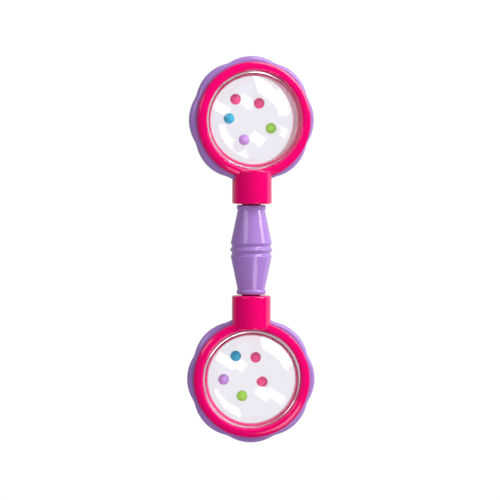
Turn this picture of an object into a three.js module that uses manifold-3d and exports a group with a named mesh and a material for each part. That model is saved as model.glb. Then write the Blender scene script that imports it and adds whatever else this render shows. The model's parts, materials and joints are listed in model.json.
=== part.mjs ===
// Baby rattle: a ribbed grip between two round heads, each a clear capsule of loose beads.
//
// Millimetres, +Z up. The rattle lies on its back on Z = 0 with its long axis along Y, and the origin is
// below its centre. Each head swivels about the long axis on a flanged neck held inside the grip.
//
// A head is built in its own frame: its centre at the origin, its front towards +Z, its neck towards -Y.

import * as THREE from 'three';
import { mergeVertices } from 'three/addons/utils/BufferGeometryUtils.js';
import Module from 'manifold-3d';

const wasm = await Module();
wasm.setup();

// ---- driving dimensions -------------------------------------------------------------------------

const headSpacing = 119;       // from one head's centre to the other's
const headTwist = 5.25;        // degrees each head is turned about the long axis at rest, opposite ways
const roundSteps = 32;         // flats in a full circle
const arcSteps = 3;            // half the flats in one arc of an extruded outline
const fitGap = 0.3;            // between pieces that touch
const halfGap = fitGap / 2;    // from a parting plane to the half-shell beside it

const frame = {
  windowRadius: 22.6,          // the clear opening at the lip
  lipHeight: 5.7,              // where the lip's rounding starts; the face is highest beside the lip
  lipRound: 1.1,
  outerRadius: 26.9,
  shoulderHeight: 6.3,
  shoulderDraft: 0.2,
  shoulderRound: 1.6,
  shoulderTurn: 70,            // degrees, from upright to the slope of the face
  innerWall: 1.0,              // wall between the dome flange and the scalloped ring
};

const scallop = {
  lobes: 8,
  tipRadius: 29.4,
  notchRadius: 28.25,
  innerRadius: 25.2,
  halfThickness: 2.8,
  edgeRound: 1.0,
};

const dome = {
  wallRadius: 22.2,
  capRadius: 31.6,
  poleHeight: 15.3,            // of the round cap, before its gate flat
  gateFlatRadius: 1.8,
  edgeRound: 3,
  wall: 1.6,
  flangeRadius: 23.6,
  flangeHeight: 1.95,
};

const collar = {
  halfWidth: 8.85,             // and the radius of its barrel-shaped front
  barrelHeight: 1.8,           // of the barrel's axis above the head's middle plane
  rearDepth: 7.2,
  rearRound: 7.0,
  start: 22.9,                 // from the head's centre
  end: 38.4,
  endRound: 0.8,
  pocketHalfWidth: 5.4,
  pocketDepth: 4.6,
  pocketStart: 31,
  pocketEnd: 36.4,
};

const neck = {
  radius: 4.4,
  boreRadius: 2.2,
  flangeRadius: 5.65,
  flangeNear: 13.7,            // distances from the grip's middle
  flangeFar: 11.3,
};

const peg = {
  radius: 0.8,
  length: 1.8,
  clearance: fitGap,
  bossRadius: 1.8,
  bossSink: 0.25,              // how far a boss runs into the walls beside and above it
};

const grip = {
  halfLength: 20.55,
  ribRadius: 9.75,
  ribHalfLength: 0.6,
  grooveRadius: 8.85,
  grooveLength: 0.5,
  shoulderRadius: 9.45,
  shoulderAt: 3.1,
  edgeRound: 0.15,
  waistRadius: 6.25,
  waistAt: 18.3,
  beadRadius: 6.75,
  neckBore: 4.7,
  chamberRadius: 6.0,
  chamberNear: 14.1,
  chamberFar: 10.9,
  middleRadius: 6.2,
  middleHalfLength: 8.0,
  pegX: 5.6,
  pegY: 9.45,
};

const beadRadius = 2.5;

// Beads rest on the rear dome at these places across the head, x and y from its centre.
const beads = {
  upper: {
    pink_left: [-5.4, 9.6], pink_right: [6.0, 7.8], cyan: [-8.2, 0.8], lime: [11.4, -3.7], lilac: [-1.1, -9.0],
  },
  lower: {
    pink_top: [2.9, 9.1], pink_low: [6.1, -2.3], cyan: [-6.4, 9.8], lime: [-3.4, -8.7], lilac: [-12.0, -1.0],
  },
};

const finishes = {
  magenta: { color: 0xe8006e, roughness: 0.22, metalness: 0 },
  purple: { color: 0xa274c8, roughness: 0.26, metalness: 0 },
  clear: { color: 0xf4f6fa, roughness: 0.05, metalness: 0, transparent: true, opacity: 0.3 },
  pink: { color: 0xee4a8c, roughness: 0.35, metalness: 0 },
  cyan: { color: 0x08aed2, roughness: 0.35, metalness: 0 },
  lime: { color: 0x96d746, roughness: 0.35, metalness: 0 },
  lilac: { color: 0xb98cd7, roughness: 0.35, metalness: 0 },
};

// ---- solids -------------------------------------------------------------------------------------

const degrees = THREE.MathUtils.degToRad;

// A closed geometry as a solid that can be joined and cut.
function toSolid(geometry) {
  const bare = geometry.clone();
  bare.deleteAttribute('normal');
  bare.deleteAttribute('uv');
  const merged = mergeVertices(bare, 1e-4);
  const triangles = [];
  for (let i = 0; i < merged.index.count; i += 3) {
    const [a, b, c] = [0, 1, 2].map((corner) => merged.index.getX(i + corner));
    if (a !== b && b !== c && c !== a) triangles.push(a, b, c);
  }
  return new wasm.Manifold(new wasm.Mesh({
    numProp: 3,
    vertProperties: new Float32Array(merged.attributes.position.array),
    triVerts: new Uint32Array(triangles),
  }));
}

function toGeometry(solid) {
  const mesh = solid.getMesh();
  const geometry = new THREE.BufferGeometry();
  geometry.setAttribute('position', new THREE.BufferAttribute(mesh.vertProperties, 3));
  geometry.setIndex(new THREE.BufferAttribute(mesh.triVerts, 1));
  return geometry;
}

// A solid turned about Y, from [radius, y] points that run anticlockwise.
function turned(points, steps = roundSteps) {
  return new THREE.LatheGeometry(points.map(([r, y]) => new THREE.Vector2(r, y)), steps);
}

// The same about Z, from [radius, z] points.
function turnedFacingUp(points, steps = roundSteps) {
  return turned(points, steps).rotateX(Math.PI / 2);
}

function box(width, length, height, x, y, z) {
  return toSolid(new THREE.BoxGeometry(width, length, height).translate(x, y, z));
}

// A round post along Z between two heights.
function post(radius, x, y, low, high) {
  const geometry = new THREE.CylinderGeometry(radius, radius, high - low, 12);
  return toSolid(geometry.rotateX(Math.PI / 2).translate(x, y, (low + high) / 2));
}

// Points of an arc, as [x, y] pairs, both ends included.
function arc(centreX, centreY, radius, from, to, steps) {
  return Array.from({ length: steps + 1 }, (_, i) => {
    const angle = degrees(from + (to - from) * i / steps);
    return [centreX + radius * Math.cos(angle), centreY + radius * Math.sin(angle)];
  });
}

// Everything above (side 1) or below (side -1) a parting plane at Z = 0.
function halfSpace(side) {
  const size = 160;
  return box(size, size, size, 0, 0, side * (size / 2 + halfGap));
}

// ---- one head -----------------------------------------------------------------------------------

// The scalloped outline: equal lobes, each an arc through its tip and the two notches beside it.
function scallopShape(grow = 0) {
  const tip = scallop.tipRadius + grow;
  const notch = scallop.notchRadius + grow;
  const halfLobe = Math.PI / scallop.lobes;
  const [notchX, notchY] = [notch * Math.cos(halfLobe), notch * Math.sin(halfLobe)];
  const centre = (tip * tip - notchX * notchX - notchY * notchY) / (2 * (tip - notchX));
  const radius = tip - centre;
  const sweep = Math.atan2(notchY, notchX - centre);
  const shape = new THREE.Shape();
  for (let lobe = 0; lobe < scallop.lobes; lobe += 1) {
    const at = 2 * halfLobe * lobe;
    shape.absarc(centre * Math.cos(at), centre * Math.sin(at), radius, at - sweep, at + sweep, false);
  }
  return shape;
}

function scallopedRing() {
  const shape = scallopShape();
  const hole = new THREE.Path();
  const arcSweep = 2 * Math.PI / scallop.lobes;
  for (let lobe = 0; lobe < scallop.lobes; lobe += 1) {
    hole.absarc(0, 0, scallop.innerRadius, -lobe * arcSweep, -(lobe + 1) * arcSweep, true);
  }
  shape.holes.push(hole);
  const flat = 2 * (scallop.halfThickness - scallop.edgeRound);
  const geometry = new THREE.ExtrudeGeometry(shape, {
    depth: flat,
    curveSegments: arcSteps,
    bevelThickness: scallop.edgeRound,
    bevelSize: scallop.edgeRound,
    bevelOffset: -scallop.edgeRound,
    bevelSegments: 2,
  });
  return toSolid(geometry.translate(0, 0, -flat / 2));
}

// The room that the scalloped ring needs between the frame halves.
function ringChannel() {
  const height = 2 * (scallop.halfThickness + fitGap);
  const geometry = new THREE.ExtrudeGeometry(scallopShape(fitGap), {
    depth: height,
    curveSegments: arcSteps,
    bevelEnabled: false,
  });
  return toSolid(geometry.translate(0, 0, -height / 2));
}

// The front half of the round frame, without its collar.
function frameRing() {
  const ringSeat = scallop.halfThickness + fitGap;
  const wallOuter = scallop.innerRadius - fitGap;
  const pocket = wallOuter - frame.innerWall;
  const pocketHeight = dome.flangeHeight + fitGap;
  const { shoulderRound, shoulderTurn } = frame;
  const shoulderX = frame.outerRadius - frame.shoulderDraft - shoulderRound;
  const shoulder = arc(shoulderX, frame.shoulderHeight - shoulderRound, shoulderRound, 0, shoulderTurn, 3);
  const lip = arc(frame.windowRadius + frame.lipRound, frame.lipHeight, frame.lipRound, 90, 180, 2);
  return toSolid(turnedFacingUp([
    [pocket, halfGap],
    [wallOuter, halfGap],
    [wallOuter, ringSeat],
    [frame.outerRadius, ringSeat],
    ...shoulder,
    ...lip,
    [frame.windowRadius, pocketHeight],
    [pocket, pocketHeight],
    [pocket, halfGap],
  ]));
}

// The collar's full section, drawn in X and Z, is half a barrel in front and a rounded block behind.
function collarBlock() {
  const { halfWidth, barrelHeight, rearDepth, rearRound, endRound } = collar;
  const shape = new THREE.Shape();
  const arcs = [
    [0, barrelHeight, halfWidth, 0],
    [0, barrelHeight, halfWidth, 90],
    [-halfWidth + rearRound, -rearDepth + rearRound, rearRound, 180],
    [halfWidth - rearRound, -rearDepth + rearRound, rearRound, 270],
  ];
  for (const [x, y, radius, from] of arcs) {
    shape.absarc(x, y, radius, degrees(from), degrees(from + 90), false);
  }
  const geometry = new THREE.ExtrudeGeometry(shape, {
    depth: collar.end - collar.start - 2 * endRound,
    curveSegments: arcSteps,
    bevelThickness: endRound,
    bevelSize: endRound,
    bevelOffset: -endRound,
    bevelSegments: 2,
  });
  return toSolid(geometry.rotateX(Math.PI / 2).translate(0, -collar.start - endRound, 0));
}

// The hollow neck runs from inside the collar to its retaining flange in the grip.
function neckTube() {
  const near = neck.flangeNear - headSpacing / 2;
  const far = neck.flangeFar - headSpacing / 2;
  const inCollar = -collar.pocketEnd;
  return toSolid(turned([
    [neck.boreRadius, far],
    [neck.flangeRadius, far],
    [neck.flangeRadius, near],
    [neck.radius, near],
    [neck.radius, inCollar],
    [neck.boreRadius, inCollar],
    [neck.boreRadius, far],
  ], 20));
}

function neckBore() {
  const low = -headSpacing / 2;
  const high = -collar.pocketEnd + 1;
  return toSolid(turned([[0, low], [neck.boreRadius, low], [neck.boreRadius, high], [0, high]], 20));
}

// One frame half with its half of the collar and neck: side 1 is the front, side -1 the rear.
function frameHalf(side) {
  let ring = frameRing();
  if (side < 0) ring = toSolid(toGeometry(ring).rotateY(Math.PI));
  const pocketLength = collar.pocketEnd - collar.pocketStart;
  const pocketY = -(collar.pocketStart + collar.pocketEnd) / 2;
  const bossX = collar.pocketHalfWidth - peg.bossRadius + peg.bossSink;
  const ceiling = side * (collar.pocketDepth + peg.bossSink);
  const joint = side * halfGap;
  let block = collarBlock()
    .subtract(ringChannel())
    .subtract(box(2 * collar.pocketHalfWidth, pocketLength, 2 * collar.pocketDepth, 0, pocketY, 0))
    .add(neckTube())
    .subtract(neckBore())
    .intersect(halfSpace(side));
  for (const x of [-bossX, bossX]) {
    block = block.add(post(peg.bossRadius, x, pocketY, Math.min(joint, ceiling), Math.max(joint, ceiling)));
    if (side > 0) {
      const socket = peg.radius + peg.clearance;
      block = block.subtract(post(socket, x, pocketY, -1, peg.length + peg.clearance + halfGap));
    } else {
      block = block.add(post(peg.radius, x, pocketY, -1, peg.length));
    }
  }
  return ring.add(block);
}

// One clear half-shell, facing up, with its rim flange and the small flat of its moulding gate.
function domeShell() {
  const { wallRadius, capRadius, edgeRound, wall } = dome;
  const capCentre = dome.poleHeight - capRadius;
  const edgeRadius = wallRadius - edgeRound;
  const edgeHeight = capCentre + Math.sqrt((capRadius - edgeRound) ** 2 - edgeRadius ** 2);
  const meets = THREE.MathUtils.radToDeg(Math.atan2(edgeHeight - capCentre, edgeRadius));
  const gateAngle = THREE.MathUtils.radToDeg(Math.acos(dome.gateFlatRadius / capRadius));
  const gateHeight = capCentre + Math.sqrt(capRadius ** 2 - dome.gateFlatRadius ** 2);
  const innerCap = arc(0, capCentre, capRadius - wall, 90, meets, 4);
  const outerCap = arc(0, capCentre, capRadius, meets, gateAngle, 4);
  innerCap[0][0] = 0;
  return toSolid(turnedFacingUp([
    ...innerCap,
    ...arc(edgeRadius, edgeHeight, edgeRound - wall, meets, 0, 2).slice(1),
    [wallRadius - wall, halfGap],
    [dome.flangeRadius, halfGap],
    [dome.flangeRadius, dome.flangeHeight],
    [wallRadius, dome.flangeHeight],
    ...arc(edgeRadius, edgeHeight, edgeRound, 0, meets, 2),
    ...outerCap.slice(1),
    [0, gateHeight],
  ]));
}

// How far below the head's middle a bead's centre lies when it rests on the rear dome.
function beadDrop(x, y) {
  const capCentre = dome.capRadius - dome.poleHeight;
  const reach = dome.capRadius - dome.wall - beadRadius - fitGap;
  return Math.sqrt(reach * reach - x * x - y * y) - capCentre;
}

// ---- the grip -----------------------------------------------------------------------------------

// The grip's outline on its +Y half, [radius, y], from the middle rib to the end.
function gripOutline() {
  const { edgeRound, grooveLength } = grip;
  const grooveAt = (grip.ribHalfLength + grip.shoulderAt - grooveLength) / 2;
  const beadLength = grip.halfLength - grip.waistAt;
  return [
    [grip.ribRadius, 0],
    [grip.ribRadius - edgeRound, grip.ribHalfLength],
    [grip.grooveRadius, grooveAt],
    [grip.grooveRadius, grooveAt + grooveLength],
    [grip.shoulderRadius - edgeRound, grip.shoulderAt - 2 * edgeRound],
    [grip.shoulderRadius, grip.shoulderAt],
    [grip.waistRadius, grip.waistAt],
    [grip.beadRadius - edgeRound, grip.waistAt + 0.2 * beadLength],
    [grip.beadRadius, grip.waistAt + 0.5 * beadLength],
    [grip.beadRadius - edgeRound, grip.waistAt + 0.8 * beadLength],
    [grip.beadRadius - 4 * edgeRound, grip.halfLength],
  ];
}

// A half outline and its mirror image, running up from -Y to +Y.
function bothEnds(half) {
  const mirrored = half.filter(([, y]) => y > 0).map(([r, y]) => [r, -y]).reverse();
  return [...mirrored, ...half];
}

function gripSolid() {
  const outer = bothEnds(gripOutline());
  const end = grip.halfLength;
  const bores = [-1, 1].map((way) => {
    const points = [
      [0, grip.chamberFar],
      [grip.chamberRadius, grip.chamberFar],
      [grip.chamberRadius, grip.chamberNear],
      [grip.neckBore, grip.chamberNear],
      [grip.neckBore, end + 1],
      [0, end + 1],
    ];
    return toSolid(turned(points).rotateX(way > 0 ? 0 : Math.PI));
  });
  const half = grip.middleHalfLength;
  const { middleRadius } = grip;
  const middle = toSolid(turned([[0, -half], [middleRadius, -half], [middleRadius, half], [0, half]]));
  return toSolid(turned([[0, -end], ...outer, [0, end]]))
    .subtract(bores[0])
    .subtract(bores[1])
    .subtract(middle);
}

// One grip half: the rear one carries four pegs and the front one their sockets.
function gripHalf(side) {
  let half = gripSolid().intersect(halfSpace(side));
  for (const x of [-grip.pegX, grip.pegX]) {
    for (const y of [-grip.pegY, grip.pegY]) {
      if (side > 0) {
        const depth = halfGap + peg.length + peg.clearance;
        half = half.subtract(post(peg.radius + peg.clearance, x, y, -1, depth));
      } else {
        half = half.add(post(peg.radius, x, y, -1, peg.length));
      }
    }
  }
  return half;
}

// ---- the assembly -------------------------------------------------------------------------------

function piece(name, geometry, finish) {
  const mesh = new THREE.Mesh(geometry, new THREE.MeshStandardMaterial(finishes[finish]));
  mesh.name = name;
  return mesh;
}

// A head's five shell pieces, in the head's own frame.
function shell(prefix) {
  const group = new THREE.Group();
  const front = toGeometry(domeShell());
  group.add(
    piece(`${prefix}_frame_front`, toGeometry(frameHalf(1)), 'magenta'),
    piece(`${prefix}_frame_rear`, toGeometry(frameHalf(-1)), 'magenta'),
    piece(`${prefix}_scalloped_ring`, toGeometry(scallopedRing()), 'purple'),
    piece(`${prefix}_dome_front`, front, 'clear'),
    piece(`${prefix}_dome_rear`, front.clone().rotateY(Math.PI), 'clear'),
  );
  return group;
}

// way is 1 for the upper head, towards +Y, and -1 for the lower one.
function head(prefix, way) {
  const group = new THREE.Group();
  group.position.y = way * headSpacing / 2;
  group.rotation.y = way * degrees(headTwist);
  const turnedShell = shell(prefix);
  turnedShell.rotation.z = way > 0 ? 0 : Math.PI;
  group.add(turnedShell);
  for (const [name, [x, y]] of Object.entries(beads[prefix])) {
    const colour = name.split('_')[0];
    const bead = piece(`${prefix}_bead_${name}`, new THREE.SphereGeometry(beadRadius, 10, 7), colour);
    bead.position.set(x, y, -beadDrop(x, y));
    group.add(bead);
  }
  return group;
}

// The rest height: each head stands on the edge of its rear gate flat.
const gateHeight = dome.poleHeight - dome.capRadius + Math.sqrt(dome.capRadius ** 2 - dome.gateFlatRadius ** 2);
const twist = degrees(headTwist);
const restHeight = gateHeight * Math.cos(twist) + dome.gateFlatRadius * Math.sin(twist);

const rattle = new THREE.Group();
rattle.position.z = restHeight;
rattle.add(
  piece('handle_front_half', toGeometry(gripHalf(1)), 'purple'),
  piece('handle_rear_half', toGeometry(gripHalf(-1)), 'purple'),
  head('upper', 1),
  head('lower', -1),
);

export default rattle;
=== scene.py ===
# Baby rattle: a ribbed grip between two swivelling heads, each a clear capsule of loose beads.
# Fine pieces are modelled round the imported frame, then lit above a pale light table.
import json
from math import acos, atan2, cos, degrees, pi, radians, sin, sqrt

import bmesh
import bpy
from mathutils import Matrix, Vector


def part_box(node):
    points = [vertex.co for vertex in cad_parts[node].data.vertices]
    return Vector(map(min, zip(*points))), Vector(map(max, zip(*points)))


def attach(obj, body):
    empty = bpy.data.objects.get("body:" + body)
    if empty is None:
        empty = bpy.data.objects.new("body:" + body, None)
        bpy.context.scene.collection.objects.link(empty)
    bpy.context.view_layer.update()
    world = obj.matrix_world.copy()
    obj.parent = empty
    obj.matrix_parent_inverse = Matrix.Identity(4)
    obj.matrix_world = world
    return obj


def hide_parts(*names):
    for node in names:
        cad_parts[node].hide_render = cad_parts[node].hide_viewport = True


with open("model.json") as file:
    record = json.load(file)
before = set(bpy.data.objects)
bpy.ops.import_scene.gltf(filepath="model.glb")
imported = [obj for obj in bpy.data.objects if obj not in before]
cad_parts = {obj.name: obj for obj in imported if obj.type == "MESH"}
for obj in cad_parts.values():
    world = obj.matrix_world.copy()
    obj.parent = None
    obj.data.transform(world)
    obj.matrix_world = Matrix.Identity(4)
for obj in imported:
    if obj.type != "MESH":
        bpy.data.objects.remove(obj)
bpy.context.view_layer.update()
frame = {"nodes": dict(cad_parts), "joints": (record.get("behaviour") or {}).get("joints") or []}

mm = 0.001
tiny = 0.0001 * mm  # points nearer than this are one point
seam = 0.02 * mm  # half the hairline where two half-shells meet
heads = ("upper", "lower")
joints = {joint["name"]: joint for joint in frame["joints"]}
axisHeight = joints["upper_head_swivel"]["pos_m"][2]


# places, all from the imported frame
def headCentre(head):
    low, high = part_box(head + "_scalloped_ring")
    return Vector((0, (low.y + high.y) / 2, axisHeight))


def headNormal(head):
    travel = next(name for name in joints if name.startswith(head + "_bead"))
    return Vector(joints[travel]["axis"]).normalized()


# a head is modelled face up at the origin with its neck towards -Y, then put in place
def headMatrix(head):
    centre, normal = headCentre(head), headNormal(head)
    tilt = Matrix.Rotation(atan2(normal.x, normal.z), 4, "Y")
    facing = Matrix.Rotation(0 if centre.y > 0 else pi, 4, "Z")
    return Matrix.Translation(centre) @ tilt @ facing


headReach = headCentre("upper").y
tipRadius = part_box("upper_scalloped_ring")[1].y - headReach
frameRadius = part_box("upper_frame_front")[1].y - headReach
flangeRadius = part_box("upper_dome_front")[1].y - headReach
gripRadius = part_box("handle_front_half")[1].x
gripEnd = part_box("handle_front_half")[1].y


# small mesh helpers
# points of an arc, angles in degrees, both ends included
def arcPoints(centre, radius, start, stop, steps):
    turns = [radians(start + (stop - start) * i / steps) for i in range(steps + 1)]
    return [(centre[0] + radius * cos(t), centre[1] + radius * sin(t)) for t in turns]


# a wire of (radius, height) points spun right round Z, or round Y when upright is False
def spun(points, steps, closed=True, upright=True, bm=None):
    bm = bm or bmesh.new()
    verts = [bm.verts.new((r, 0, h) if upright else (r, h, 0)) for r, h in points]
    pairs = list(zip(verts, verts[1:])) + ([(verts[-1], verts[0])] if closed else [])
    edges = [bm.edges.new(pair) for pair in pairs]
    axis = (0, 0, 1) if upright else (0, 1, 0)
    bmesh.ops.spin(
        bm, geom=verts + edges, cent=(0, 0, 0), axis=axis, angle=2 * pi, steps=steps, use_merge=True
    )
    bmesh.ops.remove_doubles(bm, verts=bm.verts, dist=tiny)
    bmesh.ops.recalc_face_normals(bm, faces=bm.faces)
    return bm


# keeps what lies on one side of the parting plane and closes the cut
def parted(bm, side):
    whole = bm.verts[:] + bm.edges[:] + bm.faces[:]
    cut = bmesh.ops.bisect_plane(
        bm, geom=whole, dist=tiny / 10, plane_co=(0, 0, side * seam), plane_no=(0, 0, side),
        clear_inner=True,
    )
    edges = [e for e in cut["geom_cut"] if isinstance(e, bmesh.types.BMEdge)]
    bmesh.ops.triangle_fill(bm, edges=edges, use_beauty=True, normal=(0, 0, -side))
    bmesh.ops.recalc_face_normals(bm, faces=bm.faces)
    return bm


# an upright rod, its top edge rounded if asked
def rod(radius, low, high, place, segments=32, rounding=0.0):
    bm = bmesh.new()
    bmesh.ops.create_cone(
        bm, cap_ends=True, segments=segments, radius1=radius, radius2=radius, depth=high - low,
        matrix=Matrix.Translation((place[0], place[1], (low + high) / 2)),
    )
    if rounding:
        top = [e for e in bm.edges if all(abs(v.co.z - high) < tiny for v in e.verts)]
        bmesh.ops.bevel(
            bm, geom=top, offset=rounding, segments=3, profile=0.5, affect="EDGES", material=-1
        )
    return bm


def block(size, centre):
    bm = bmesh.new()
    bmesh.ops.create_cube(bm, size=1, matrix=Matrix.Translation(centre) @ Matrix.Diagonal((*size, 1)))
    return bm


def newObject(name, bm, matrix=None):
    if matrix is not None:
        bm.transform(matrix)
    mesh = bpy.data.meshes.new(name)
    bm.to_mesh(mesh)
    bm.free()
    obj = bpy.data.objects.new(name, mesh)
    bpy.context.scene.collection.objects.link(obj)
    return obj


# joins or cuts obj with each bmesh in turn: how is UNION or DIFFERENCE
def carved(obj, how, *tools):
    for tool in tools:
        cutter = newObject("cutter", tool)
        step = obj.modifiers.new(how.lower(), "BOOLEAN")
        step.operation, step.object, step.solver = how, cutter, "MANIFOLD"
        bpy.context.view_layer.update()
        evaluated = obj.evaluated_get(bpy.context.evaluated_depsgraph_get())
        done = bpy.data.meshes.new_from_object(evaluated)
        obj.modifiers.clear()
        old, obj.data = obj.data, done
        bpy.data.meshes.remove(old)
        bpy.data.objects.remove(cutter)


# smooth shading with real corners kept sharp, the finish, and the body that the piece moves with
def finished(obj, body, node, material, sharpAngle=35):
    mesh = obj.data
    bm = bmesh.new()
    bm.from_mesh(mesh)
    bmesh.ops.remove_doubles(bm, verts=bm.verts, dist=2 * tiny)
    bmesh.ops.dissolve_degenerate(bm, edges=bm.edges, dist=tiny)
    bm.to_mesh(mesh)
    bm.free()
    mesh.shade_smooth()
    mesh.set_sharp_from_angle(angle=radians(sharpAngle))
    mesh.materials.clear()
    mesh.materials.append(materials[material])
    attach(obj, body)
    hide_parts(node)


# materials
# a new node; a name is one of its settings or else one of its inputs, with _ for a space
def nodeIn(tree, kind, **values):
    node = tree.nodes.new(kind)
    for name, value in values.items():
        if hasattr(node, name):
            setattr(node, name, value)
        else:
            node.inputs[name.replace("_", " ")].default_value = value
    return node


# what every moulded piece shares: a faint ripple, handling marks and hairline scratches
skinLook = dict(rippleSize=260.0, smudgeSize=45.0, smudgeFrom=0.3, smudgeTo=0.75, roughness=0.15,
                smudge=0.08, scratch=0.2, scratchFrom=0.68, scratchTo=0.74, scratchTurn=(0.3, 0.2, 0.6),
                scratchStretch=(40, 2600, 2600))


def makeMouldedSkin():
    look = skinLook
    group = bpy.data.node_groups.new("mouldedSkin", "ShaderNodeTree")
    face = group.interface
    for name, value in (("Ripple Size", look["rippleSize"]), ("Smudge Size", look["smudgeSize"]),
                        ("Base Roughness", look["roughness"]), ("Smudge Amount", look["smudge"]),
                        ("Scratch Amount", look["scratch"])):
        face.new_socket(name, in_out="INPUT", socket_type="NodeSocketFloat").default_value = value
    for name in ("Roughness", "Height", "Smudge"):
        face.new_socket(name, in_out="OUTPUT", socket_type="NodeSocketFloat")
    links = group.links
    start, end = group.nodes.new("NodeGroupInput"), group.nodes.new("NodeGroupOutput")
    coords = nodeIn(group, "ShaderNodeTexCoord")
    ripple = nodeIn(group, "ShaderNodeTexNoise", Detail=2.0, Roughness=0.5)
    smudge = nodeIn(group, "ShaderNodeTexNoise", Detail=4.0, Roughness=0.6)
    stretch = nodeIn(
        group, "ShaderNodeMapping", Rotation=look["scratchTurn"], Scale=look["scratchStretch"]
    )
    scratch = nodeIn(group, "ShaderNodeTexNoise", Scale=1.0, Detail=1.0)
    hairline = nodeIn(
        group, "ShaderNodeMapRange", From_Min=look["scratchFrom"], From_Max=look["scratchTo"]
    )
    scratchHeight = nodeIn(group, "ShaderNodeMath", operation="MULTIPLY")
    height = nodeIn(group, "ShaderNodeMath", operation="SUBTRACT")
    spread = nodeIn(group, "ShaderNodeMapRange", From_Min=look["smudgeFrom"], From_Max=look["smudgeTo"])
    dull = nodeIn(group, "ShaderNodeMath", operation="MULTIPLY_ADD")
    links.new(coords.outputs["Object"], ripple.inputs["Vector"])
    links.new(coords.outputs["Object"], smudge.inputs["Vector"])
    links.new(coords.outputs["Object"], stretch.inputs["Vector"])
    links.new(stretch.outputs["Vector"], scratch.inputs["Vector"])
    links.new(start.outputs["Ripple Size"], ripple.inputs["Scale"])
    links.new(start.outputs["Smudge Size"], smudge.inputs["Scale"])
    links.new(scratch.outputs["Fac"], hairline.inputs["Value"])
    links.new(hairline.outputs["Result"], scratchHeight.inputs[0])
    links.new(start.outputs["Scratch Amount"], scratchHeight.inputs[1])
    links.new(ripple.outputs["Fac"], height.inputs[0])
    links.new(scratchHeight.outputs[0], height.inputs[1])
    links.new(smudge.outputs["Fac"], spread.inputs["Value"])
    links.new(spread.outputs["Result"], dull.inputs[0])
    links.new(start.outputs["Smudge Amount"], dull.inputs[1])
    links.new(start.outputs["Base Roughness"], dull.inputs[2])
    links.new(dull.outputs[0], end.inputs["Roughness"])
    links.new(height.outputs[0], end.inputs["Height"])
    links.new(spread.outputs["Result"], end.inputs["Smudge"])
    return group


beadFinish = dict(roughness=0.3, smudge=0.15, ripple=0.12, specular=0.5)
finishes = {
    "magenta_plastic": dict(color=(0.84, 0.0, 0.155), shade=(0.79, 0.0, 0.14), roughness=0.09, smudge=0.04,
                            ripple=0.05, specular=0.45),
    "purple_plastic": dict(color=(0.40, 0.22, 0.62), shade=(0.37, 0.20, 0.58), roughness=0.12, smudge=0.05,
                           ripple=0.06, specular=0.5),
    "bead_pink": dict(beadFinish, color=(0.90, 0.075, 0.27), shade=(0.80, 0.05, 0.22)),
    "bead_cyan": dict(beadFinish, color=(0.0, 0.42, 0.62), shade=(0.0, 0.35, 0.54)),
    "bead_lime": dict(beadFinish, color=(0.33, 0.72, 0.06), shade=(0.26, 0.62, 0.04)),
    "bead_lilac": dict(beadFinish, color=(0.50, 0.27, 0.72), shade=(0.42, 0.22, 0.64)),
}
clearFinish = dict(color=(0.970, 0.958, 0.996), roughness=0.015, smudge=0.02, ripple=0.02, ior=1.49)


# lays the shared skin over a shader and returns it, for what else it drives
def laySkin(tree, shader, look, rippleHeight):
    skin = nodeIn(tree, "ShaderNodeGroup", node_tree=mouldedSkin, Base_Roughness=look["roughness"],
                  Smudge_Amount=look["smudge"])
    bump = nodeIn(tree, "ShaderNodeBump", Strength=look["ripple"], Distance=rippleHeight)
    tree.links.new(skin.outputs["Roughness"], shader.inputs["Roughness"])
    tree.links.new(skin.outputs["Height"], bump.inputs["Height"])
    tree.links.new(bump.outputs["Normal"], shader.inputs["Normal"])
    return skin


# moulded colour, a little deeper where it has been handled
def plasticMaterial(name, look):
    material = bpy.data.materials.new(name)
    material.use_nodes = True
    tree = material.node_tree
    shader = tree.nodes["Principled BSDF"]
    shader.inputs["Specular IOR Level"].default_value = look["specular"]
    skin = laySkin(tree, shader, look, rippleHeight=0.3 * mm)
    colour = nodeIn(tree, "ShaderNodeMix", data_type="RGBA")
    colour.inputs["A"].default_value = (*look["color"], 1)
    colour.inputs["B"].default_value = (*look["shade"], 1)
    tree.links.new(skin.outputs["Smudge"], colour.inputs["Factor"])
    tree.links.new(colour.outputs["Result"], shader.inputs["Base Color"])
    return material


# clear plastic; lamps reach the beads through it
def clearMaterial(name, look):
    material = bpy.data.materials.new(name)
    material.use_nodes = True
    tree = material.node_tree
    shader = tree.nodes["Principled BSDF"]
    shader.inputs["Base Color"].default_value = (*look["color"], 1)
    shader.inputs["Transmission Weight"].default_value = 1
    shader.inputs["IOR"].default_value = look["ior"]
    laySkin(tree, shader, look, rippleHeight=0.1 * mm)
    shadowPass = nodeIn(tree, "ShaderNodeBsdfTransparent")
    path = nodeIn(tree, "ShaderNodeLightPath")
    mix = nodeIn(tree, "ShaderNodeMixShader")
    tree.links.new(path.outputs["Is Shadow Ray"], mix.inputs["Fac"])
    tree.links.new(shader.outputs["BSDF"], mix.inputs[1])
    tree.links.new(shadowPass.outputs["BSDF"], mix.inputs[2])
    tree.links.new(mix.outputs["Shader"], tree.nodes["Material Output"].inputs["Surface"])
    return material


mouldedSkin = makeMouldedSkin()
materials = {name: plasticMaterial(name, look) for name, look in finishes.items()}
materials["clear_plastic"] = clearMaterial("clear_plastic", clearFinish)
print("materials made:", len(materials))


# the scalloped rings
scallop = dict(lobes=8, notchDepth=1.25 * mm, notchSoftness=0.7 * mm, innerRadius=25.2 * mm,
               halfThickness=2.8 * mm, outerRound=1.9 * mm, innerRound=0.3 * mm,
               bendFrom=0.9 * mm,  # in from the frame's edge, where the lobes fade out
               bendLoops=(2.6 * mm, 3.4 * mm),  # in from the tips, edges that take the bend
               steps=288)


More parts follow.
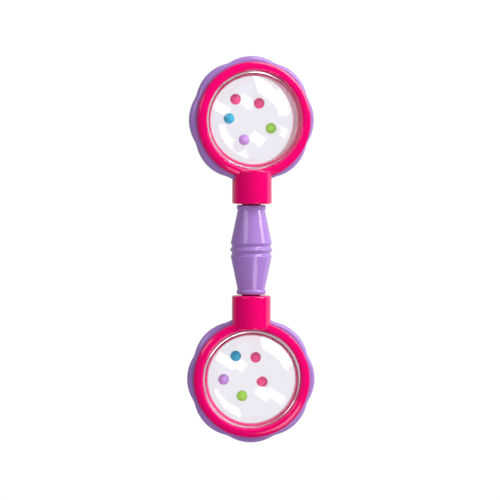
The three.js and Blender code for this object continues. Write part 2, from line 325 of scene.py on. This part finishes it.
# how far the rim lies from the centre at an angle: lobes are arcs, blended softly at the notches
def rimRadius(angle, grow=0.0):
    halfLobe = pi / scallop["lobes"]
    tip = tipRadius
    notch = tip - scallop["notchDepth"]
    across, along = notch * sin(halfLobe), notch * cos(halfLobe)
    centre = (tip ** 2 - notch ** 2) / (2 * (tip - along))
    lobe = tip - centre

    def reach(offset):
        inside = lobe ** 2 - (centre * sin(offset)) ** 2
        return centre * cos(offset) + sqrt(max(inside, 0))

    offset = (angle + halfLobe) % (2 * halfLobe) - halfLobe
    near, far = reach(abs(offset)), reach(2 * halfLobe - abs(offset))
    soft = scallop["notchSoftness"]
    blend = max(soft - abs(near - far), 0) / soft
    return max(near, far) + blend ** 2 * soft / 4 + grow


# draws a round shape's rim into the lobes, easing in from the start radius
def scalloped(bm, start):
    for vert in bm.verts:
        radius = Vector((vert.co.x, vert.co.y)).length
        if radius > start:
            share = (radius - start) / (tipRadius - start)
            share = share * share * (3 - 2 * share)
            aim = radius + share * (rimRadius(atan2(vert.co.y, vert.co.x)) - tipRadius)
            vert.co.x *= aim / radius
            vert.co.y *= aim / radius
    return bm


# the ring's section: full round outside, flat faces, small rounds inside
def ringProfile():
    s = scallop
    high, outer, inner = s["halfThickness"], tipRadius, s["innerRadius"]
    big, small = s["outerRound"], s["innerRound"]
    loops = [outer - inset for inset in s["bendLoops"]]
    return (arcPoints((outer - big, -high + big), big, -90, 0, steps=8)
            + arcPoints((outer - big, high - big), big, 0, 90, steps=8)
            + [(radius, high) for radius in loops]
            + arcPoints((inner + small, high - small), small, 90, 180, steps=3)
            + arcPoints((inner + small, -high + small), small, 180, 270, steps=3)
            + [(radius, -high) for radius in reversed(loops)])


for head in heads:
    ring = scalloped(spun(ringProfile(), scallop["steps"]), frameRadius - scallop["bendFrom"])
    node = head + "_scalloped_ring"
    finished(newObject(node + "_fine", ring, headMatrix(head)), head + "_head", node, "purple_plastic")
print("scalloped rings made")


# the frames: round rim, collar and flanged neck, in front and rear halves
rim = dict(windowRadius=22.6 * mm, lipHeight=5.7 * mm, lipRound=1.1 * mm, draft=0.2 * mm,
           crownRadius=5.1 * mm, crownTilt=27, crownStop=89, shoulderRound=0.7 * mm, seatHeight=3.1 * mm,
           wallOuter=24.9 * mm, pocketRadius=23.9 * mm, pocketHeight=2.25 * mm, edgeRound=0.25 * mm,
           steps=192)
collar = dict(halfWidth=8.85 * mm, barrelHeight=1.8 * mm, rearDepth=7.2 * mm, rearRound=7.0 * mm,
              start=22.9 * mm, end=38.4 * mm, startRound=0.9 * mm, endRound=0.85 * mm, channelGap=0.3 * mm,
              pocketWidth=10.8 * mm, pocketLength=5.4 * mm, pocketHeight=9.2 * mm, pocketMiddle=33.7 * mm)
neck = dict(radius=4.4 * mm, boreRadius=2.2 * mm, flangeRadius=5.65 * mm, flangeNear=13.7 * mm,
            flangeFar=11.3 * mm, edgeRound=0.25 * mm, overlap=0.2 * mm, steps=64)
peg = dict(radius=0.8 * mm, reach=1.8 * mm, root=1.0 * mm, tipRound=0.25 * mm, clearance=0.3 * mm,
           bossRadius=1.8 * mm, bossX=3.8 * mm, bossOverlap=0.3 * mm)


# the face is highest beside the window's lip and falls away in a crown to the shoulder
def rimProfile(side):
    r = rim
    crest = r["lipHeight"] + r["lipRound"]
    tilt = radians(r["crownTilt"])
    shoulder, crown, small = r["shoulderRound"], r["crownRadius"], r["edgeRound"]
    shoulderX = frameRadius - r["draft"] - shoulder
    crownX = shoulderX - (crown - shoulder) * sin(tilt)
    shoulderZ = crest - crown + (crown - shoulder) * cos(tilt)
    points = [(r["pocketRadius"], seam), (r["wallOuter"], seam), (r["wallOuter"], r["seatHeight"])]
    lipX = r["windowRadius"] + r["lipRound"]
    crownStart = 90 - r["crownTilt"]
    points += arcPoints((frameRadius - small, r["seatHeight"] + small), small, -90, 0, steps=3)
    points += arcPoints((shoulderX, shoulderZ), shoulder, 0, crownStart, steps=6)
    points += arcPoints((crownX, crest - crown), crown, crownStart, r["crownStop"], steps=14)[1:]
    points += arcPoints((lipX, r["lipHeight"]), r["lipRound"], 90, 180, steps=8)
    points += [(r["windowRadius"], r["pocketHeight"]), (r["pocketRadius"], r["pocketHeight"])]
    return [(x, side * z) for x, z in points]


# the collar's section: half a barrel in front, a rounded block behind
def collarSection():
    c = collar
    width, rounding = c["halfWidth"], c["rearRound"]
    inset = width - rounding
    low = rounding - c["rearDepth"]
    return (arcPoints((0, c["barrelHeight"]), width, 0, 180, steps=48)
            + arcPoints((-inset, low), rounding, 180, 270, steps=16)
            + arcPoints((inset, low), rounding, 270, 360, steps=16))


# the section drawn out along the neck, both ends rounded
def collarBlock():
    c = collar
    bm = bmesh.new()
    face = bm.faces.new([bm.verts.new((x, -c["start"], z)) for x, z in collarSection()])
    moved = bmesh.ops.extrude_face_region(bm, geom=[face])["geom"]
    verts = [v for v in moved if isinstance(v, bmesh.types.BMVert)]
    bmesh.ops.translate(bm, verts=verts, vec=(0, c["start"] - c["end"], 0))
    for place, rounding in ((c["start"], c["startRound"]), (c["end"], c["endRound"])):
        end = [e for e in bm.edges if all(abs(v.co.y + place) < tiny for v in e.verts)]
        bmesh.ops.bevel(
            bm, geom=end, offset=rounding, segments=7, profile=0.5, affect="EDGES", material=-1,
            clamp_overlap=False,
        )
    bmesh.ops.recalc_face_normals(bm, faces=bm.faces)
    return bm


# the room that the scalloped ring needs inside the collar
def ringRoom():
    bm = bmesh.new()
    height = rim["seatHeight"]
    bmesh.ops.create_cone(
        bm, cap_ends=True, segments=scallop["steps"], radius1=tipRadius, radius2=tipRadius, depth=2 * height,
    )
    for vert in bm.verts:
        aim = rimRadius(atan2(vert.co.y, vert.co.x), collar["channelGap"])
        vert.co.x, vert.co.y = Vector((vert.co.x, vert.co.y)).normalized() * aim
    return bm


# the hollow neck with the flange that the grip holds
def neckTube():
    n = neck
    near, far = n["flangeNear"] - headReach, n["flangeFar"] - headReach
    inside = -collar["pocketMiddle"] - collar["pocketLength"] / 2 + n["overlap"]
    small = n["edgeRound"]
    return spun(
        [(n["boreRadius"], far)]
        + arcPoints((n["flangeRadius"] - small, far - small), small, 90, 0, steps=3)
        + arcPoints((n["flangeRadius"] - small, near + small), small, 0, -90, steps=3)
        + [(n["radius"], near), (n["radius"], inside), (n["boreRadius"], inside)],
        n["steps"], upright=False,
    )


# the passage through the neck into the collar's pocket
def boreRoom():
    inside = -collar["pocketMiddle"]
    radius = neck["boreRadius"]
    outline = [(0, -headReach), (radius, -headReach), (radius, inside), (0, inside)]
    return spun(outline, neck["steps"], closed=False, upright=False)


# a socket in a front half, a peg on a rear half
def pegged(obj, side, place):
    if side > 0:
        room = peg["clearance"]
        carved(obj, "DIFFERENCE", rod(peg["radius"] + room, -peg["root"], peg["reach"] + room, place))
    else:
        pin = rod(peg["radius"], -peg["root"], peg["reach"], place, rounding=peg["tipRound"])
        carved(obj, "UNION", pin)


# one frame half: collar, ring room and pocket, neck, pegs or sockets, then the round rim
def frameHalf(head, side):
    node = head + ("_frame_front" if side > 0 else "_frame_rear")
    middle = -collar["pocketMiddle"]
    obj = newObject(node + "_fine", parted(collarBlock(), side))
    pocket = block((collar["pocketWidth"], collar["pocketLength"], collar["pocketHeight"]), (0, middle, 0))
    carved(obj, "DIFFERENCE", ringRoom(), pocket)
    carved(obj, "UNION", parted(neckTube(), side))
    carved(obj, "DIFFERENCE", boreRoom())
    ceiling = collar["pocketHeight"] / 2 + peg["bossOverlap"]
    for x in (-peg["bossX"], peg["bossX"]):
        boss = sorted((side * seam, side * ceiling))
        carved(obj, "UNION", rod(peg["bossRadius"], *boss, (x, middle)))
        pegged(obj, side, (x, middle))
    carved(obj, "UNION", spun(rimProfile(side), rim["steps"]))
    obj.data.transform(headMatrix(head))
    finished(obj, head + "_head", node, "magenta_plastic")


for head in heads:
    for side in (1, -1):
        frameHalf(head, side)
print("frames made")


# the clear domes
dome = dict(wallRadius=22.2 * mm, capRadius=31.6 * mm, poleHeight=15.3 * mm, gateFlat=1.8 * mm,
            edgeRound=5.0 * mm, wall=1.6 * mm, flangeHeight=1.95 * mm, flangeRound=0.2 * mm, steps=192)


# from the pole down inside, out along the flange, and up outside to the gate's flat
def domeProfile():
    d = dome
    capCentre = d["poleHeight"] - d["capRadius"]
    edge = d["wallRadius"] - d["edgeRound"]
    edgeHeight = capCentre + sqrt((d["capRadius"] - d["edgeRound"]) ** 2 - edge ** 2)
    meets = degrees(atan2(edgeHeight - capCentre, edge))
    gate = degrees(acos(d["gateFlat"] / d["capRadius"]))
    gateHeight = capCentre + sqrt(d["capRadius"] ** 2 - d["gateFlat"] ** 2)
    inner = arcPoints((0, capCentre), d["capRadius"] - d["wall"], 90, meets, steps=24)
    inner[0] = (0, inner[0][1])
    innerEdge = arcPoints((edge, edgeHeight), d["edgeRound"] - d["wall"], meets, 0, steps=8)[1:]
    small = d["flangeRound"]
    return (inner + innerEdge + [(d["wallRadius"] - d["wall"], seam), (flangeRadius, seam)]
            + arcPoints((flangeRadius - small, d["flangeHeight"] - small), small, 0, 90, steps=3)
            + [(d["wallRadius"] + small, d["flangeHeight"])]
            + arcPoints((d["wallRadius"] + small, d["flangeHeight"] + small), small, 270, 180, steps=3)[1:]
            + arcPoints((edge, edgeHeight), d["edgeRound"], 0, meets, steps=10)
            + arcPoints((0, capCentre), d["capRadius"], meets, gate, steps=28)[1:]
            + [(0, gateHeight)])


for head in heads:
    for side, name in ((1, "_dome_front"), (-1, "_dome_rear")):
        shell = spun(domeProfile(), dome["steps"], closed=False)
        over = Matrix.Rotation(0 if side > 0 else pi, 4, "Y")
        obj = newObject(head + name + "_fine", shell, headMatrix(head) @ over)
        finished(obj, head + "_head", head + name, "clear_plastic")
print("domes made")


# the loose beads
bead = dict(radius=2.5 * mm, seamWidth=0.10 * mm, seamHeight=0.035 * mm, gateRadius=0.45 * mm,
            gateDepth=0.06 * mm, segments=56, rings=40, sharpAngle=60)
beadTurns = {"pink": (20, 35), "cyan": (70, 10), "lime": (110, 60), "lilac": (40, 80)}  # about X, then Y


# a ball with a mould seam round it and the gate's dimple on top
def beadShape():
    bm = bmesh.new()
    bmesh.ops.create_uvsphere(
        bm, u_segments=bead["segments"], v_segments=bead["rings"], radius=bead["radius"]
    )
    for vert in bm.verts:
        flat = Vector((vert.co.x, vert.co.y)).length
        if abs(vert.co.z) < bead["seamWidth"]:
            vert.co.x *= 1 + bead["seamHeight"] / bead["radius"]
            vert.co.y *= 1 + bead["seamHeight"] / bead["radius"]
        elif flat < bead["gateRadius"] and vert.co.z > 0:
            vert.co.z -= bead["gateDepth"]
    return bm


for node in sorted(name for name in frame["nodes"] if "_bead_" in name):
    low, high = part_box(node)
    colour = node.split("_bead_")[1].split("_")[0]
    aboutX, aboutY = [radians(angle) for angle in beadTurns[colour]]
    turn = Matrix.Rotation(aboutX, 4, "X") @ Matrix.Rotation(aboutY, 4, "Y")
    obj = newObject(node + "_fine", beadShape(), Matrix.Translation((low + high) / 2) @ turn)
    finished(obj, node, node, "bead_" + colour, bead["sharpAngle"])
print("beads made")


# the grip
grip = dict(ribRound=0.75 * mm, ribSweep=62, grooveRadius=8.85 * mm, grooveRound=0.5 * mm,
            grooveSweep=(225, 135), grooveShift=0.1 * mm, shoulderRadius=9.45 * mm,
            shoulderRound=0.45 * mm, shoulderSweep=(-55, 14), shoulderAt=3.1 * mm, shoulderShift=0.05 * mm,
            coneStep=0.1 * mm, coneGap=0.4 * mm, waistRadius=6.25 * mm, waistAt=18.3 * mm,
            waistGap=0.05 * mm, beadRadius=6.75 * mm, beadRound=0.5 * mm, beadSweep=78, beadFill=0.98,
            neckBore=4.7 * mm, boreChamfer=0.3 * mm, chamberRadius=6.0 * mm, chamberNear=14.1 * mm,
            chamberFar=10.9 * mm, middleRadius=6.2 * mm, middleHalf=8.0 * mm, pegX=5.6 * mm,
            pegY=9.45 * mm, steps=160)


# the outside from the middle rib to one end, as (radius, y): rib, groove, shoulder, cone, end bead
def gripOutline():
    g = grip
    rib, groove, shoulder, bulge = g["ribRound"], g["grooveRound"], g["shoulderRound"], g["beadRound"]
    grooveAt = g["shoulderAt"] / 2 + g["grooveShift"]
    shoulderAt = g["shoulderAt"] - g["shoulderShift"]
    beadHalf = g["beadFill"] * (gripEnd - g["waistAt"]) / 2
    beadMiddle = (gripEnd + g["waistAt"]) / 2
    points = arcPoints((gripRadius - rib, 0), rib, 0, g["ribSweep"], steps=6)
    points += arcPoints((g["grooveRadius"] + groove, grooveAt), groove, *g["grooveSweep"], steps=6)
    points += arcPoints(
        (g["shoulderRadius"] - shoulder, shoulderAt), shoulder, *g["shoulderSweep"], steps=5
    )
    points += [(g["waistRadius"] + g["coneStep"], g["waistAt"] - g["coneGap"]),
               (g["waistRadius"], g["waistAt"] - g["waistGap"])]
    for x, y in arcPoints((0, 0), 1, -g["beadSweep"], g["beadSweep"], steps=12):
        points.append((g["beadRadius"] - bulge + bulge * x, beadMiddle + beadHalf * y))
    return points


# the solid of revolution: the outside, both neck chambers, and the hollow middle
def gripWhole():
    g = grip
    outline = gripOutline()
    mirrored = [(r, -y) for r, y in reversed(outline[1:])]
    chamfer = g["boreChamfer"]
    end = [(g["neckBore"] + chamfer, gripEnd), (g["neckBore"], gripEnd - chamfer),
           (g["neckBore"], g["chamberNear"]), (g["chamberRadius"], g["chamberNear"]),
           (g["chamberRadius"], g["chamberFar"]), (0, g["chamberFar"])]
    start = [(r, -y) for r, y in reversed(end)]
    bm = spun(start + mirrored + outline + end, g["steps"], closed=False, upright=False)
    half, radius = g["middleHalf"], g["middleRadius"]
    hollow = [(0, -half), (radius, -half), (radius, half), (0, half)]
    return spun(hollow, g["steps"], closed=False, upright=False, bm=bm)


for side, node in ((1, "handle_front_half"), (-1, "handle_rear_half")):
    obj = newObject(node + "_fine", parted(gripWhole(), side))
    for x in (-grip["pegX"], grip["pegX"]):
        for y in (-grip["pegY"], grip["pegY"]):
            pegged(obj, side, (x, y))
    obj.data.transform(Matrix.Translation((0, 0, axisHeight)))
    finished(obj, "handle", node, "purple_plastic")
print("grip made")


# light table, softboxes and camera
studio = dict(tableSize=6.0, tableDrop=16 * mm, tableShown=0.98, tableThrough=0.93, tableLeft=0.03,
              tableRight=0.85, fadeFrom=-0.12, fadeTo=0.08, tableColor=0.03, roomShown=1.0,
              roomThrough=0.75, roomMirrored=0.03, roomFill=0.46)
# the camera looks down, tilted left and up by degrees; distance is in metres, lens and sensor in mm
view = dict(left=9.75, up=2.2, roll=0.16, distance=1.3848, lens=216.7, sensor=36, farthest=20,
            offset=(0.575 * mm, 0.19 * mm))
# each softbox's middle, in metres from the rattle's, and its edges: right, up and back from the camera
softboxes = {
    "keyBox": dict(middle=(3.28, 2.58, 1.09), across=(0.979, -0.113, 0.146), along=(0.140, 0.987, -0.074),
                   size=(5.0, 3.6), glow=7.0),
    "lowBox": dict(middle=(0.396, -0.475, 0.718), across=(0.657, -0.387, -0.646), along=(0.612, 0.773, 0.159),
                   size=(0.46, 0.29), glow=4.0),
    "leftBox": dict(middle=(-0.62, 0.38, 0.69), across=(-0.589, 0.368, -0.719), along=(-0.527, -0.849, 0.0),
                    size=(0.72, 0.27), glow=3.2),
    "sideBox": dict(middle=(0.866, 0.441, 0.233), across=(0.208, 0.106, -0.972), along=(-0.453, 0.890, 0.0),
                    size=(0.42, 0.60), glow=4.0),
}


# the camera's own axes as columns: right, up, back towards the camera
def cameraAxes():
    left, up = radians(view["left"]), radians(view["up"])
    back = Vector((-sin(left) * cos(up), sin(up), cos(left) * cos(up)))
    upright = Matrix.Rotation(radians(view["roll"]), 3, back) @ Vector((0, 1, 0))
    right = upright.cross(back).normalized()
    return Matrix((right, back.cross(right), back)).transposed()


middle = Vector((0, 0, axisHeight))
axes = cameraAxes()
camera = bpy.data.objects.new("camera", bpy.data.cameras.new("camera"))
camera.data.lens, camera.data.sensor_width = view["lens"], view["sensor"]
camera.data.clip_end = view["farthest"]
aim = middle - axes @ Vector((view["offset"][0], view["offset"][1], 0))
camera.matrix_world = Matrix.Translation(aim + axes.col[2] * view["distance"]) @ axes.to_4x4()
bpy.context.scene.collection.objects.link(camera)
bpy.context.scene.camera = camera

for name, look in softboxes.items():
    lamp = bpy.data.lights.new(name, "AREA")
    lamp.shape = "RECTANGLE"
    lamp.size, lamp.size_y = look["size"]
    lamp.energy = look["glow"] * pi * lamp.size * lamp.size_y
    across = (axes @ Vector(look["across"])).normalized()
    back = across.cross(axes @ Vector(look["along"])).normalized()
    turn = Matrix((across, back.cross(across), back)).transposed()
    obj = bpy.data.objects.new(name, lamp)
    obj.matrix_world = Matrix.Translation(middle + axes @ Vector(look["middle"])) @ turn.to_4x4()
    bpy.context.scene.collection.objects.link(obj)


# a level by kind of ray: starts from a number or socket, and a later choice wins over an earlier one
# Transmission Depth also covers rays that are mirrored after they enter the clear plastic
def levelByRay(tree, level, choices):
    path = nodeIn(tree, "ShaderNodeLightPath")
    for ray, value in choices:
        mix = nodeIn(tree, "ShaderNodeMix", data_type="FLOAT", B=value)
        tree.links.new(path.outputs[ray], mix.inputs["Factor"])
        if isinstance(level, float):
            mix.inputs["A"].default_value = level
        else:
            tree.links.new(level, mix.inputs["A"])
        level = mix.outputs["Result"]
    return level


bm = bmesh.new()
bmesh.ops.create_grid(bm, x_segments=1, y_segments=1, size=studio["tableSize"] / 2)
table = newObject("lightTable", bm, Matrix.Translation((0, 0, -studio["tableDrop"])))  # clears a turned head
tableLook = bpy.data.materials.new("paleTable")
tableLook.use_nodes = True
tree = tableLook.node_tree
shader = tree.nodes["Principled BSDF"]
grey = studio["tableColor"]
shader.inputs["Base Color"].default_value = (grey, grey, grey, 1)
shader.inputs["Roughness"].default_value = 1
shader.inputs["Specular IOR Level"].default_value = 0
shader.inputs["Emission Color"].default_value = (1, 1, 1, 1)
# the pieces mirror a table that is lit more on the key's side
place = nodeIn(tree, "ShaderNodeTexCoord")
sideways = nodeIn(tree, "ShaderNodeSeparateXYZ")
glowAcross = nodeIn(
    tree, "ShaderNodeMapRange", interpolation_type="SMOOTHSTEP",
    From_Min=studio["fadeFrom"], From_Max=studio["fadeTo"],
    To_Min=studio["tableLeft"], To_Max=studio["tableRight"],
)
tableLevel = levelByRay(tree, glowAcross.outputs["Result"], (
    ("Transmission Depth", studio["tableThrough"]), ("Is Camera Ray", studio["tableShown"]),
))
tree.links.new(place.outputs["Object"], sideways.inputs["Vector"])
tree.links.new(sideways.outputs["X"], glowAcross.inputs["Value"])
tree.links.new(tableLevel, shader.inputs["Emission Strength"])
table.data.materials.append(tableLook)

world = bpy.data.worlds.new("room")
world.use_nodes = True
bpy.context.scene.world = world
tree = world.node_tree
tree.nodes["Background"].inputs["Color"].default_value = (1, 1, 1, 1)
roomLevel = levelByRay(tree, studio["roomFill"], (
    ("Is Glossy Ray", studio["roomMirrored"]), ("Transmission Depth", studio["roomThrough"]),
    ("Is Camera Ray", studio["roomShown"]),
))
tree.links.new(roomLevel, tree.nodes["Background"].inputs["Strength"])

scene = bpy.context.scene
scene.view_settings.view_transform = "Standard"
scene.view_settings.look = "None"
print("studio made")
